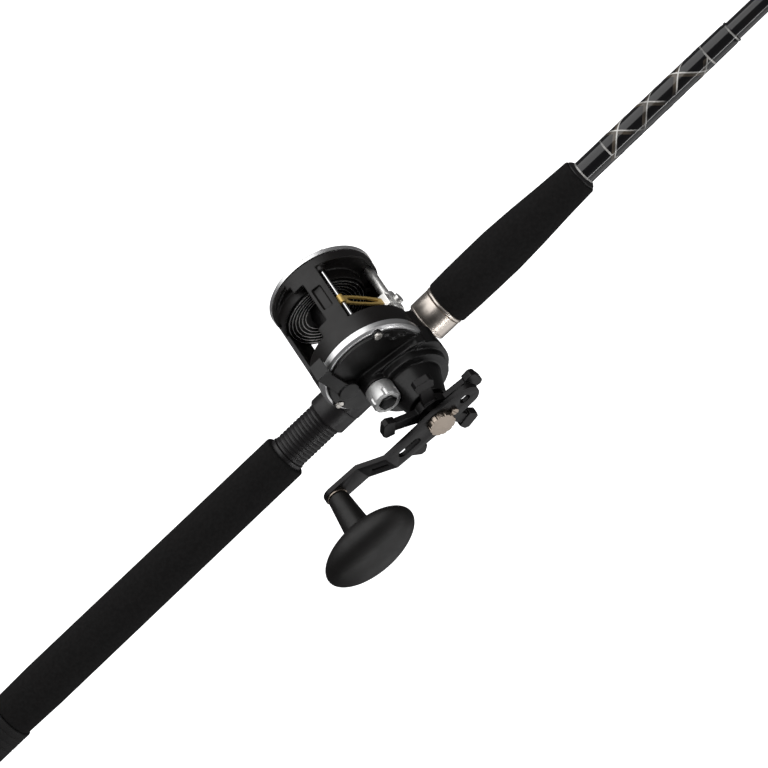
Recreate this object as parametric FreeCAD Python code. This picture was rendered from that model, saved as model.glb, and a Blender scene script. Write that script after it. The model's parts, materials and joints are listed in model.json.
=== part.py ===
import FreeCAD, Part
import math
import os

from FreeCAD import Vector

os.makedirs("parts", exist_ok=True)

# A one-piece boat rod with a conventional level-wind reel on its seat.
# Frame: X runs along the rod from butt to tip, Z points up through the reel, the crank is on the -Y side.
# Origin: centre of the butt end, on the rod's axis. Millimetres and degrees.

# ---------------------------------------------------------------- rod
rod_length = 1981.0
blank_butt_radius = 9.0
blank_tip_radius = 1.2
blank_butt_wall = 1.2
blank_tip_wall = 0.5

butt_cap_length = 33.5
butt_cap_radius = 16.2
butt_cap_wall = 2.6
butt_cap_end = 4.0

rear_grip_length = 246.7
rear_grip_butt_radius = 15.6
rear_grip_front_radius = 15.05

# reel seat
seat_length = 136.8
seat_core_radius = 10.4
seat_bore_radius = 9.1
seat_collar_length = 3.0
seat_collar_radius = 12.2
thread_crest_radius = 11.7
thread_root_radius = 11.0
thread_pitch = 2.9
thread_length = 52.2
hood_shell_radius = 13.9
hood_shell_wall = 0.9
front_hood_length = 14.0
seat_nut_length = 14.9
moving_hood_length = 16.0
hood_lip_length = 5.0
seat_trim_length = 3.0
seat_trim_radius = 14.2
arbor_count = 3
arbor_length = 24.0
running_clearance = 0.08

foregrip_length = 114.0
foregrip_rear_radius = 14.9
foregrip_belly_radius = 15.6
foregrip_front_radius = 11.9
foregrip_chamfer = 1.6
winding_check_length = 2.0
winding_check_radius = 10.6
butt_wrap_length = 125.0
butt_wrap_thickness = 0.85

# guides
guide_count = 5
guide_first_gap = 102.0
guide_gap_growth = 1.28
tip_ring_bore = 3.6
guide_bore_step = 0.95
guide_insert_wall = 1.1
guide_holder_wall = 1.0
guide_insert_width = 3.0
guide_holder_width = 2.4
guide_clear_height = 5.0
guide_foot_length = 17.0
guide_foot_width = 3.2
guide_foot_thickness = 0.9
guide_strut_radius = 0.85
guide_wrap_thickness = 1.6
guide_wrap_length = 20.0
tip_tube_length = 14.0
tip_tube_wall = 0.7
tip_overhang = 12.0

# ---------------------------------------------------------------- reel
reel_x = 375.0                # ring centre, measured from the butt end
reel_z = 53.0                 # ring centre above the rod's axis
plate_radius = 35.0           # outside of the bright side rings
frame_radius = 34.6
frame_wall = 2.4
left_face_y = 31.9            # frame's left end
right_face_y = -30.7          # frame's right end
left_window_y = 25.5
rear_window_y = 29.0
right_window_y = -18.0
left_ring_width = 3.5
right_ring_width = 5.7
ring_band = 3.0
frame_web = 3.5
bar_wall = 3.4
top_bar_angles = (67.0, 87.0)
rear_bar_angles = (168.0, 207.0)
base_angles = (220.0, 318.0)
gusset_angle = 100.0

# spool
spool_offset_x = -6.0
spool_offset_z = -2.0
spool_flange_radius = 26.0
spool_left_y = 20.0
spool_right_y = -15.0
spool_flange_thickness = 2.2
spool_arbor_radius = 10.0
spool_shaft_radius = 2.5
spool_well_clearance = 0.5
collar_wall = 1.5
bearing_radius = 5.0
bearing_width = 4.0

# gear train
gear_module = 0.8
main_gear_teeth = 48
pinion_teeth = 12
worm_drive_teeth = 41
worm_gear_teeth = 12
gear_backlash = 0.12
pressure_angle = 25.0
crank_axis_angle = -52.0      # from the spool axis to the crank axis, from +X towards +Z
worm_axis_angle = 25.8        # from the crank axis to the worm axis
main_gear_y = (-39.8, -43.8)
worm_gear_y = (-38.0, -39.4)
pinion_gear_y = (-39.4, -43.6)
pinion_travel = 2.2             # how far the clutch pulls the pinion off the spool
drive_shaft_radius = 4.0
ratchet_radius = 7.0
ratchet_teeth = 12
pawl_post_radius = 1.2

# right side
housing_radius = 27.0
housing_step_radius = 23.8
housing_back_y = -36.4
housing_back_wall = 1.2
housing_front_y = -43.6
housing_step_y = -49.2
gear_room_radius = 21.2
gear_room_front_y = -44.4
tower_base_radius = 18.0
tower_top_radius = 12.6
tower_top_y = -67.5
plate_front_y = -38.4
pocket_inner_radius = 28.8
pocket_angles = (13.0, 43.0)
pocket_depth = 1.0
bridge_y = (-31.0, -33.0)
bridge_radius = 27.6
worm_housing_radius = 8.6
worm_housing_offset = (1.1, -2.3)
housing_ridge = ((400.5, 53.8), (405.0, 51.8), (408.9, 48.4))   # top corner of the housing, beside the ring
worm_room_radius = 6.4
tension_post_radius = 6.4
tension_boss_radius = 9.2
tension_post_y = -56.0
tension_cap_radius = 9.0
tension_cap_y = (-47.6, -59.5)
screw_circle_radius = 30.9
plate_screw_angles = (50.8, 179.0)
left_third_screw_angle = 300.0
housing_screw_angle = 242.4
screw_head_radius = 2.6
screw_shank_radius = 1.4
screw_head_height = 1.4
screw_grip = 5.0
housing_screw_seat_y = -43.6
bushing_length = 4.0
washer_radius = 11.0
washer_thickness = 0.8
washer_count = 6
spring_washer_count = 2
spring_washer_pitch = 0.8
shaft_nut_depth = 2.4
screw_boss_radius = 3.4
base_pad_thickness = 4.6
foot_flange_thickness = 2.2
foot_neck_halfwidth = 6.8
foot_screw_radius = 1.6
foot_screw_head_radius = 2.8
foot_screw_bite = 3.6

# level wind
guide_rod_offset = (14.4, 27.4)
guide_rod_radius = 1.1
worm_tube_radius = 3.1
worm_tube_wall = 0.6
worm_shaft_radius = 2.2
worm_journal_radius = 1.6
worm_tail_radius = 1.1          # passes the tips of the main gear
worm_boss_radius = 8.4
worm_pitch = 6.0
carriage_y = -2.5
carriage_length = 14.0
carriage_radius = 4.8
line_guide_width = 7.0
line_guide_wire = 1.6
line_guide_foot_width = 4.4
carriage_rise = 9.0
pawl_radius = 1.4

# clutch lever
lever_boss = (-19.1, 7.7)
lever_boss_radius = 6.8
lever_pad = (-18.2, 34.4)
lever_y = (-38.8, -41.8)

# crank
star_y = -69.8
star_hub_radius = 12.0
star_reach = 30.6
star_arm_count = 5
star_first_angle = -5.0
star_thickness = 4.2
arm_angle = 176.7
arm_face_y = -82.0
arm_thickness = 3.2
arm_reach = 78.2
arm_tail = 30.0
arm_crank_start = 39.0
arm_crank_end = 57.0
arm_crank_depth = 8.4
arm_hub_halfwidth = 9.4
arm_end_halfwidth = 7.4
handle_nut_radius = 8.5
handle_nut_height = 3.8
lock_screw_head_radius = 2.4
knob_half_length = 33.0
knob_half_width = 20.5
knob_half_depth = 14.0
knob_neck_radius = 6.6
knob_neck_length = 27.0
post_radius = 3.0

# ---------------------------------------------------------------- helpers
axis_x = Vector(1, 0, 0)
axis_y = Vector(0, 1, 0)
axis_z = Vector(0, 0, 1)
origin = Vector(0, 0, 0)


def save(name, shape):
    """Write one sub-part, checked to be valid, to parts/."""
    shape = shape.removeSplitter()
    if not shape.isValid():
        shape.fix(0.001, 0.001, 0.001)
    print(f"{name}: solids {len(shape.Solids)} valid {shape.isValid()} volume {shape.Volume:.1f}")
    shape.exportStep(f"parts/{name}.step")
    return shape


def polar(centre, radius, angle):
    """Point (x, z) at an angle from +X towards +Z."""
    turn = math.radians(angle)
    return (centre[0] + radius * math.cos(turn), centre[1] + radius * math.sin(turn))


def cylinder_y(centre, radius, y_a, y_b):
    low, high = sorted((y_a, y_b))
    return Part.makeCylinder(radius, high - low, Vector(centre[0], low, centre[1]), axis_y)


def ring_y(centre, outer, inner, y_a, y_b):
    return cylinder_y(centre, outer, y_a, y_b).cut(cylinder_y(centre, inner, y_a, y_b))


def cone_y(centre, radius_a, radius_b, y_a, y_b):
    """Cone from radius_a at y_a to radius_b at y_b."""
    if y_a > y_b:
        y_a, y_b, radius_a, radius_b = y_b, y_a, radius_b, radius_a
    return Part.makeCone(radius_a, radius_b, y_b - y_a, Vector(centre[0], y_a, centre[1]), axis_y)


def box(x_a, x_b, y_a, y_b, z_a, z_b):
    low = Vector(min(x_a, x_b), min(y_a, y_b), min(z_a, z_b))
    return Part.makeBox(abs(x_b - x_a), abs(y_b - y_a), abs(z_b - z_a), low)


def polygon_face(points):
    return Part.Face(Part.makePolygon(points + [points[0]]))


def revolve_x(outline):
    """Turn an outline of (x, radius) points about the rod's axis."""
    face = polygon_face([Vector(x, 0, radius) for x, radius in outline])
    return face.revolve(origin, axis_x, 360)


def revolve_y(centre, outline):
    """Turn an outline of (radius, y) points about a Y axis through centre."""
    face = polygon_face([Vector(centre[0] + radius, y, centre[1]) for radius, y in outline])
    return face.revolve(Vector(centre[0], 0, centre[1]), axis_y, 360)


def prism_y(outline, y_a, y_b):
    """Extrude an outline of (x, z) points along Y."""
    face = polygon_face([Vector(x, y_a, z) for x, z in outline])
    return face.extrude(Vector(0, y_b - y_a, 0))


def sector_y(centre, outer, inner, angles, y_a, y_b):
    """Part of a ring between two angles."""
    start, end = angles
    steps = max(2, math.ceil((end - start) / 40))
    reach = outer * 1.6
    fan = [centre] + [polar(centre, reach, start + (end - start) * i / steps) for i in range(steps + 1)]
    return ring_y(centre, outer, inner, y_a, y_b).common(prism_y(fan, y_a, y_b))


def sector_x(outer, inner, half_angle, x_a, x_b):
    """Part of a ring about the rod's axis, centred on +Z."""
    ring = Part.makeCylinder(outer, x_b - x_a, Vector(x_a, 0, 0), axis_x)
    ring = ring.cut(Part.makeCylinder(inner, x_b - x_a, Vector(x_a, 0, 0), axis_x))
    reach = outer * 1.6
    side = math.radians(half_angle)
    fan = [Vector(x_a, 0, 0), Vector(x_a, -reach * math.sin(side), reach * math.cos(side)),
           Vector(x_a, 0, reach * 1.2), Vector(x_a, reach * math.sin(side), reach * math.cos(side))]
    return ring.common(polygon_face(fan).extrude(Vector(x_b - x_a, 0, 0)))


def rod_between(start, end, radius):
    span = end - start
    return Part.makeCylinder(radius, span.Length, start, span)


def slotted_screw(centre, y_head, y_tip, head_radius, shank_radius, head_height):
    """Screw along Y, head at y_head, with a straight driver slot."""
    inward = 1 if y_tip > y_head else -1
    head = cylinder_y(centre, head_radius, y_head, y_head + inward * head_height)
    shank = cylinder_y(centre, shank_radius, y_head + inward * head_height, y_tip)
    slot_half = 0.3
    slot = box(centre[0] - slot_half, centre[0] + slot_half, y_head, y_head + inward * 0.6,
               centre[1] - 2 * head_radius, centre[1] + 2 * head_radius)
    return head.fuse(shank).cut(slot)


def gear(centre, teeth, y_a, y_b, tooth_angle):
    """Spur gear with involute flanks; one tooth is centred on tooth_angle."""
    pitch_radius = gear_module * teeth / 2
    slope = math.radians(pressure_angle)
    base_radius = pitch_radius * math.cos(slope)
    tip_radius = pitch_radius + 0.9 * gear_module
    root_radius = pitch_radius - 1.15 * gear_module
    half_pitch = math.pi / (2 * teeth) - gear_backlash / (2 * pitch_radius)
    flank_start = max(base_radius, root_radius)
    flank_steps = 4
    flank = []
    for i in range(flank_steps + 1):
        radius = flank_start + (tip_radius - flank_start) * i / flank_steps
        roll = math.acos(min(1.0, base_radius / radius))
        half = half_pitch + (math.tan(slope) - slope) - (math.tan(roll) - roll)
        flank.append((radius, math.degrees(half)))
    if root_radius < base_radius:
        flank.insert(0, (root_radius, flank[0][1]))
    outline = []
    for tooth in range(teeth):
        middle = tooth_angle + 360 * tooth / teeth
        outline += [polar(centre, radius, middle - half) for radius, half in flank]
        outline += [polar(centre, radius, middle + half) for radius, half in reversed(flank)]
    return prism_y(outline, y_a, y_b)


# ---------------------------------------------------------------- derived places
ring_centre = (reel_x, reel_z)
spool_axis = (reel_x + spool_offset_x, reel_z + spool_offset_z)
gear_distance = gear_module * (main_gear_teeth + pinion_teeth) / 2
worm_distance = gear_module * (worm_drive_teeth + worm_gear_teeth) / 2
crank_axis = polar(spool_axis, gear_distance, crank_axis_angle)
worm_axis = polar(crank_axis, worm_distance, worm_axis_angle)
guide_rod_axis = (reel_x + guide_rod_offset[0], reel_z + guide_rod_offset[1])

rear_grip_start = butt_cap_length
rear_grip_end = rear_grip_start + rear_grip_length
seat_end = rear_grip_end + seat_length
foregrip_start = seat_end + seat_trim_length
foregrip_end = foregrip_start + foregrip_length
wrap_start = foregrip_end + winding_check_length
wrap_end = wrap_start + butt_wrap_length
blank_end = rod_length - tip_overhang
thread_start = rear_grip_end + seat_collar_length
thread_end = thread_start + thread_length
front_pocket_start = seat_end - front_hood_length
moving_hood_start = thread_end - hood_lip_length
foot_tail_x = moving_hood_start + hood_lip_length + 1.5
foot_toe_x = seat_end - 4.0
foot_inner_radius = seat_core_radius
foot_outer_radius = hood_shell_radius - hood_shell_wall - 0.2
pocket_radius = hood_shell_radius - hood_shell_wall
foot_half_angle = 40.0
pocket_half_angle = 47.0


def blank_radius(x):
    return blank_butt_radius + (blank_tip_radius - blank_butt_radius) * x / rod_length


blank_outer = revolve_x([(0, 0), (0, blank_butt_radius), (rod_length, blank_tip_radius), (rod_length, 0)])


def sleeve(outline):
    """Sleeve on the blank: the outline's outside, bored to the blank's taper."""
    start, end = outline[0][0], outline[-1][0]
    solid = revolve_x([(start, 0)] + outline + [(end, 0)])
    return solid.cut(blank_outer)


# ---------------------------------------------------------------- rod pieces
def make_blank():
    start = butt_cap_end
    outline = [(start, blank_radius(start)), (blank_end, blank_radius(blank_end)),
               (blank_end, blank_radius(blank_end) - blank_tip_wall),
               (start, blank_radius(start) - blank_butt_wall)]
    return save("rod_blank", revolve_x(outline))


def make_butt_cap():
    edge = 3.0
    mouth_radius = butt_cap_radius - butt_cap_wall
    outline = [(0, 0), (0, butt_cap_radius - edge), (edge * 0.35, butt_cap_radius - edge * 0.35),
               (edge, butt_cap_radius), (butt_cap_length - 1, butt_cap_radius),
               (butt_cap_length, butt_cap_radius - 0.8), (butt_cap_length, mouth_radius),
               (butt_cap_end, mouth_radius), (butt_cap_end, 0)]
    save("butt_cap", revolve_x(outline))


def make_rear_grip():
    neck_radius = butt_cap_radius - butt_cap_wall
    edge = 1.2
    save("rear_grip", sleeve([(butt_cap_end, neck_radius), (rear_grip_start, neck_radius),
                              (rear_grip_start, rear_grip_butt_radius),
                              (rear_grip_end - edge, rear_grip_front_radius),
                              (rear_grip_end, rear_grip_front_radius - edge)]))


def make_reel_seat():
    outline = [(rear_grip_end, seat_collar_radius), (thread_start, seat_collar_radius)]
    ridge_count = round(thread_length / thread_pitch)
    pitch = thread_length / ridge_count
    for i in range(ridge_count):
        x = thread_start + i * pitch
        outline += [(x, thread_root_radius), (x + 0.3 * pitch, thread_crest_radius),
                    (x + 0.7 * pitch, thread_crest_radius)]
    outline += [(thread_end, thread_root_radius), (thread_end, seat_core_radius),
                (front_pocket_start, seat_core_radius), (front_pocket_start, pocket_radius),
                (seat_end, pocket_radius)]
    solid = revolve_x([(rear_grip_end, seat_bore_radius)] + outline + [(seat_end, seat_bore_radius)])
    pocket = sector_x(pocket_radius + 1, seat_core_radius, pocket_half_angle,
                      front_pocket_start - 1, foot_toe_x + 1)
    save("reel_seat", solid.cut(pocket))


def make_arbors():
    gap = (seat_length - arbor_count * arbor_length) / (arbor_count + 1)
    rings = []
    for i in range(arbor_count):
        start = rear_grip_end + gap + i * (arbor_length + gap)
        rings.append(sleeve([(start, seat_bore_radius), (start + arbor_length, seat_bore_radius)]))
    save("seat_arbors", Part.Compound(rings))


def make_front_hood():
    edge = 0.4
    outline = [(front_pocket_start, pocket_radius), (front_pocket_start, hood_shell_radius - edge),
               (front_pocket_start + edge, hood_shell_radius), (seat_end, hood_shell_radius),
               (seat_end, pocket_radius)]
    save("front_hood", revolve_x(outline))


def make_moving_hood():
    bore = thread_crest_radius + running_clearance
    end = moving_hood_start + moving_hood_length
    outline = [(moving_hood_start, bore), (moving_hood_start, hood_shell_radius),
               (end - 0.6, hood_shell_radius), (end, hood_shell_radius - 0.6), (end, bore)]
    pocket = sector_x(pocket_radius, thread_crest_radius - 2, pocket_half_angle,
                      moving_hood_start + hood_lip_length, end + 1)
    save("moving_hood", revolve_x(outline).cut(pocket))


def make_seat_nut():
    bore = thread_crest_radius + running_clearance
    start = moving_hood_start - seat_nut_length
    edge = 1.0
    outline = [(start, bore), (start, hood_shell_radius - edge), (start + edge, hood_shell_radius - 0.3),
               (moving_hood_start - 0.3, hood_shell_radius - 0.3), (moving_hood_start - 0.3, bore)]
    save("seat_nut", revolve_x(outline))


def make_seat_trim():
    save("seat_trim_ring", sleeve([(seat_end, seat_trim_radius), (foregrip_start, seat_trim_radius)]))


def make_foregrip():
    belly = foregrip_start + 0.39 * foregrip_length
    save("foregrip", sleeve([(foregrip_start, foregrip_rear_radius), (belly, foregrip_belly_radius),
                             (foregrip_end - foregrip_chamfer, foregrip_front_radius),
                             (foregrip_end, foregrip_front_radius - foregrip_chamfer)]))


def make_winding_check():
    save("winding_check", sleeve([(foregrip_end, winding_check_radius), (foregrip_end + 1.0, winding_check_radius),
                                  (wrap_start, winding_check_radius - 1.6)]))


def make_butt_wrap():
    save("butt_wrap", sleeve([(wrap_start, blank_radius(wrap_start) + butt_wrap_thickness),
                              (wrap_end - 2, blank_radius(wrap_end) + 0.6 * butt_wrap_thickness),
                              (wrap_end, blank_radius(wrap_end) + 0.1)]))


# ---------------------------------------------------------------- guides
def guide_x(index):
    """Distance of guide number index (0 nearest the tip) from the butt end."""
    distance = sum(guide_first_gap * guide_gap_growth ** i for i in range(index + 1))
    return rod_length - distance


def guide_bore(index):
    return tip_ring_bore + guide_bore_step * (index + 1)


def guide_ring_height(x, bore):
    return blank_radius(x) + guide_clear_height + bore + guide_insert_wall + guide_holder_wall


def guide_insert(x, z, bore):
    """Ring insert with rounded lips, standing across the rod."""
    half = guide_insert_width / 2
    lip = 0.5
    outer = bore + guide_insert_wall
    outline = [(x - half, bore + lip), (x - half + lip, bore), (x + half - lip, bore), (x + half, bore + lip),
               (x + half, outer), (x - half, outer)]
    insert = revolve_x(outline)
    insert.translate(Vector(0, 0, z))
    return insert


def ring_holder(x, z, bore):
    inner = bore + guide_insert_wall
    outer = inner + guide_holder_wall
    holder = Part.makeCylinder(outer, guide_holder_width, Vector(x - guide_holder_width / 2, 0, z), axis_x)
    return holder.cut(Part.makeCylinder(inner, guide_holder_width, Vector(x - guide_holder_width / 2, 0, z), axis_x))


def guide_reach(bore):
    """Distance from the ring to the inner end of each foot."""
    return bore + 6.0


def make_guides():
    wraps = []
    inserts = []
    for index in range(guide_count):
        x = guide_x(index)
        bore = guide_bore(index)
        height = guide_ring_height(x, bore)
        holder = ring_holder(x, height, bore)
        middle_radius = bore + guide_insert_wall + guide_holder_wall / 2
        frame = holder
        feet = []
        for side in (-1, 1):
            near = x + side * guide_reach(bore)
            far = near + side * guide_foot_length
            deck = blank_radius(near) + guide_foot_thickness
            half = guide_foot_width / 2
            foot = box(near, far, -half, half, blank_radius(x) - 1.5, deck).cut(blank_outer)
            frame = frame.fuse(foot)
            for hand in (-1, 1):
                top = Vector(x, hand * middle_radius * math.cos(math.radians(35)),
                             height - middle_radius * math.sin(math.radians(35)))
                bottom = Vector(near + side * 0.8, hand * 0.7, deck - 0.1)
                frame = frame.fuse(rod_between(bottom, top, guide_strut_radius))
            feet.append((near, far))
        bore_cut = Part.makeCylinder(bore + guide_insert_wall, 40, Vector(x - 20, 0, height), axis_x)
        frame = frame.cut(bore_cut).cut(blank_outer)
        frame = save(f"guide_frame_{guide_count - index}", frame)
        inserts.append(guide_insert(x, height, bore))
        for near, far in feet:
            side = 1 if far > near else -1
            start, end = sorted((near + side * 3.0, near + side * (3.0 + guide_wrap_length)))
            wrap = sleeve([(start, blank_radius(start) + 0.4), (start + 2, blank_radius(start) + guide_wrap_thickness),
                           (end - 2, blank_radius(end) + guide_wrap_thickness), (end, blank_radius(end) + 0.4)])
            wraps.append(wrap.cut(frame))
    tip_wrap = sleeve([(blank_end - tip_tube_length - 12, blank_radius(blank_end) + 0.5),
                       (blank_end - tip_tube_length - 0.5, blank_radius(blank_end) + 0.5)])
    wraps.append(tip_wrap)
    inserts.append(guide_insert(tip_ring_x(), tip_ring_height(), tip_ring_bore))
    save("guide_rings", Part.Compound(inserts))
    save("guide_wraps", Part.Compound(wraps))


def tip_ring_x():
    return rod_length - guide_insert_width / 2


def tip_ring_height():
    return tip_ring_bore + guide_insert_wall + guide_holder_wall + 1.2


def make_tip_top():
    tube_start = blank_end - tip_tube_length
    outer = blank_radius(tube_start) + tip_tube_wall
    end = blank_end + 1.5
    tube = revolve_x([(tube_start, 0), (tube_start, outer), (end, outer), (end, 0)]).cut(
        revolve_x([(tube_start - 1, 0), (tube_start - 1, blank_radius(tube_start - 1)),
                   (blank_end, blank_radius(blank_end)), (blank_end, 0)]))
    x = tip_ring_x()
    height = tip_ring_height()
    middle_radius = tip_ring_bore + guide_insert_wall + guide_holder_wall / 2
    frame = tube.fuse(ring_holder(x, height, tip_ring_bore))
    for hand in (-1, 1):
        low = Vector(tube_start + 2, hand * (outer - 0.3), 0.2)
        high = Vector(x, hand * middle_radius * math.cos(math.radians(20)),
                      height - middle_radius * math.sin(math.radians(20)))
        frame = frame.fuse(rod_between(low, high, 0.7))
    frame = frame.fuse(rod_between(Vector(end - 1, 0, 0), Vector(x, 0, height - middle_radius), 0.7))
    bore_cut = Part.makeCylinder(tip_ring_bore + guide_insert_wall, 40, Vector(x - 20, 0, height), axis_x)
    inner_blank = revolve_x([(tube_start - 20, 0), (tube_start - 20, blank_radius(tube_start - 20)),
                             (blank_end, blank_radius(blank_end)), (blank_end, 0)])
    frame = frame.cut(bore_cut).cut(inner_blank)
    save("tip_top", frame)


# ---------------------------------------------------------------- reel frame
def make_reel_foot():
    saddle = sector_x(foot_outer_radius, foot_inner_radius, foot_half_angle, foot_tail_x, foot_toe_x)
    base_z = frame_base_z()
    neck = box(reel_x - 20, reel_x + 18, -foot_neck_halfwidth, foot_neck_halfwidth, foot_inner_radius, base_z)
    neck = neck.cut(Part.makeCylinder(foot_inner_radius, 80, Vector(reel_x - 40, 0, 0), axis_x))
    flange = box(reel_x - 24, reel_x + 22, -13, 13, base_z - foot_flange_thickness, base_z)
    foot = saddle.fuse(neck).fuse(flange)
    for x, y in foot_screw_places():
        foot = foot.cut(Part.makeCylinder(foot_screw_radius, 12, Vector(x, y, base_z - 5), axis_z))
    save("reel_foot", foot)


def frame_base_z():
    """Underside of the frame's base pad, where the foot is screwed on."""
    return reel_z - frame_radius - 0.9


def foot_screw_places():
    return [(reel_x + side * 20.5, hand * 10.0) for side in (-1, 1) for hand in (-1, 1)]


def make_foot_screws():
    base_z = frame_base_z()
    under = base_z - foot_flange_thickness
    head_height = 1.0
    screws = []
    for x, y in foot_screw_places():
        head = Part.makeCylinder(foot_screw_head_radius, head_height, Vector(x, y, under - head_height), axis_z)
        length = foot_flange_thickness + foot_screw_bite
        shank = Part.makeCylinder(foot_screw_radius, length, Vector(x, y, under), axis_z)
        slot = box(x - 3, x + 3, y - 0.3, y + 0.3, under - head_height, under - 0.5)
        screws.append(head.fuse(shank).cut(slot))
    save("foot_screws", Part.Compound(screws))


def bar_sector(angles, y_a, y_b):
    return sector_y(ring_centre, frame_radius, frame_radius - bar_wall, angles, y_a, y_b)


def make_reel_frame():
    inner = frame_radius - frame_wall
    well = spool_flange_radius + spool_well_clearance
    overlap = 0.2
    parts = []
    for face, window, lip in ((left_face_y, left_window_y, spool_left_y + 0.6),
                              (right_face_y, right_window_y, spool_right_y - 0.6)):
        inward = -1 if face > 0 else 1
        parts.append(ring_y(ring_centre, frame_radius, inner, face, window))
        parts.append(cylinder_y(ring_centre, inner + 0.1, face, face + inward * frame_web))
        collar = ring_y(spool_axis, well + collar_wall, well, face + inward, lip)
        parts.append(collar.common(cylinder_y(ring_centre, frame_radius - 0.3, face, lip)))
    for angles in (top_bar_angles, rear_bar_angles, base_angles):
        parts.append(bar_sector(angles, right_window_y - overlap, rear_window_y + overlap))
    base_z = frame_base_z()
    parts.append(box(reel_x - 24, reel_x + 22, right_face_y, left_face_y, base_z, base_z + base_pad_thickness))
    # gussets that widen the top bar where it meets the two rings
    parts.append(bar_sector((top_bar_angles[0], gusset_angle), left_window_y, left_window_y - 5.5))
    parts.append(bar_sector((top_bar_angles[0], gusset_angle), right_window_y, right_window_y + 7.0))
    # housing of the worm's bearing, standing out of the right ring
    parts.append(cylinder_y(worm_axis, worm_boss_radius, right_face_y, right_window_y + 1.0))
    frame = parts[0].multiFuse(parts[1:])
    # the rear window reaches further left than the front one
    rear_cut = ring_y(ring_centre, frame_radius + 1, inner, left_window_y, rear_window_y)
    rear_fan = [ring_centre] + [polar(ring_centre, 60, angle) for angle in (gusset_angle + 4, 136, rear_bar_angles[0])]
    frame = frame.cut(rear_cut.common(prism_y(rear_fan, left_window_y, rear_window_y)))
    # recess in the top bar
    place = polar(ring_centre, frame_radius, sum(top_bar_angles) / 2 + 1)
    frame = frame.cut(box(place[0] - 3.0, place[0] + 3.0, -4.5, 12.5, place[1] - 1.8, place[1] + 5))
    # seats of the guide rod and the worm tube
    rod_boss = guide_rod_radius + 1.8
    frame = frame.fuse(cylinder_y(guide_rod_axis, rod_boss, left_face_y, left_window_y - 3))
    frame = frame.fuse(cylinder_y(guide_rod_axis, rod_boss, right_face_y, right_window_y + 1))
    frame = frame.cut(cylinder_y(guide_rod_axis, guide_rod_radius, right_face_y - 1, left_face_y - 2))
    frame = frame.cut(cylinder_y(worm_axis, worm_tube_radius, right_face_y - 1, left_face_y - 2))
    for y_face, inward, angles in ((left_face_y, -1, plate_screw_angles + (left_third_screw_angle,)),
                                   (right_face_y, 1, plate_screw_angles + (housing_screw_angle,))):
        for angle in angles:
            place = polar(ring_centre, screw_circle_radius, angle)
            boss = cylinder_y(place, screw_shank_radius + 1.6, y_face, y_face + inward * 6)
            frame = frame.fuse(boss.common(cylinder_y(ring_centre, frame_radius, -60, 60)))
            frame = frame.cut(cylinder_y(place, screw_shank_radius, y_face, y_face + inward * screw_grip))
    frame = frame.cut(cylinder_y(spool_axis, well, right_face_y - 1, left_face_y + 1))
    for x, y in foot_screw_places():
        frame = frame.cut(Part.makeCylinder(foot_screw_radius, foot_screw_bite, Vector(x, y, base_z), axis_z))
    save("reel_frame", frame)


# ---------------------------------------------------------------- left side
def left_screw_places():
    return [polar(ring_centre, screw_circle_radius, angle) for angle in plate_screw_angles + (left_third_screw_angle,)]


def right_screw_places():
    return [polar(ring_centre, screw_circle_radius, angle) for angle in plate_screw_angles + (housing_screw_angle,)]


def make_left_side():
    outer_y = left_face_y + left_ring_width
    seat_y = outer_y - 0.6
    inner_radius = plate_radius - ring_band
    edge = 1.0
    ring = revolve_y(ring_centre, [(inner_radius, left_face_y), (plate_radius, left_face_y),
                                   (plate_radius, outer_y - edge), (plate_radius - edge, outer_y),
                                   (inner_radius, outer_y)])
    for place in left_screw_places():
        ring = ring.cut(cylinder_y(place, screw_boss_radius, left_face_y - 1, outer_y + 1))
    save("left_side_ring", ring)

    boss_end = outer_y + 3.6
    hub_back = left_face_y - 3.6
    plate = cylinder_y(ring_centre, inner_radius, left_face_y, outer_y + 0.6)
    for place in left_screw_places():
        plate = plate.fuse(cylinder_y(place, screw_boss_radius, left_face_y, seat_y))
    plate = plate.fuse(cone_y(ring_centre, 22.0, 17.0, outer_y + 0.5, outer_y + 2.6))
    plate = plate.fuse(cylinder_y(spool_axis, 10.5, outer_y, boss_end))
    plate = plate.fuse(cylinder_y(spool_axis, bearing_radius + 1.8, hub_back, left_face_y + 1))
    plate = plate.cut(cylinder_y(spool_axis, bearing_radius, hub_back, hub_back + bearing_width))
    plate = plate.cut(cylinder_y(spool_axis, spool_shaft_radius + 0.4, hub_back, boss_end - 1.2))
    plate = plate.cut(click_slot())
    for place in left_screw_places():
        plate = plate.cut(cylinder_y(place, screw_shank_radius, left_face_y - 1, outer_y + 2))
        plate = plate.cut(cylinder_y(place, screw_head_radius + 0.2, seat_y, outer_y + 2))
    save("left_side_plate", plate)


def click_place():
    return (reel_x + 10.0, reel_z + 13.0)


def click_slot():
    x, z = click_place()
    outer_y = left_face_y + left_ring_width
    return box(x - 1.6, x + 1.6, left_face_y - 1, outer_y + 6, z - 3.4, z + 3.4)


def make_click_button():
    x, z = click_place()
    outer_y = left_face_y + left_ring_width
    stem = box(x - 1.2, x + 1.2, left_face_y - 0.4, outer_y + 3.4, z - 3.1, z + 0.1)
    head = cylinder_y((x, z - 1.5), 3.4, outer_y + 3.2, outer_y + 5.4)
    back = box(x - 2.6, x + 2.6, left_face_y - 1.8, left_face_y - 0.4, z - 5.0, z + 0.2)
    save("click_button", stem.fuse(head).fuse(back))


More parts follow.
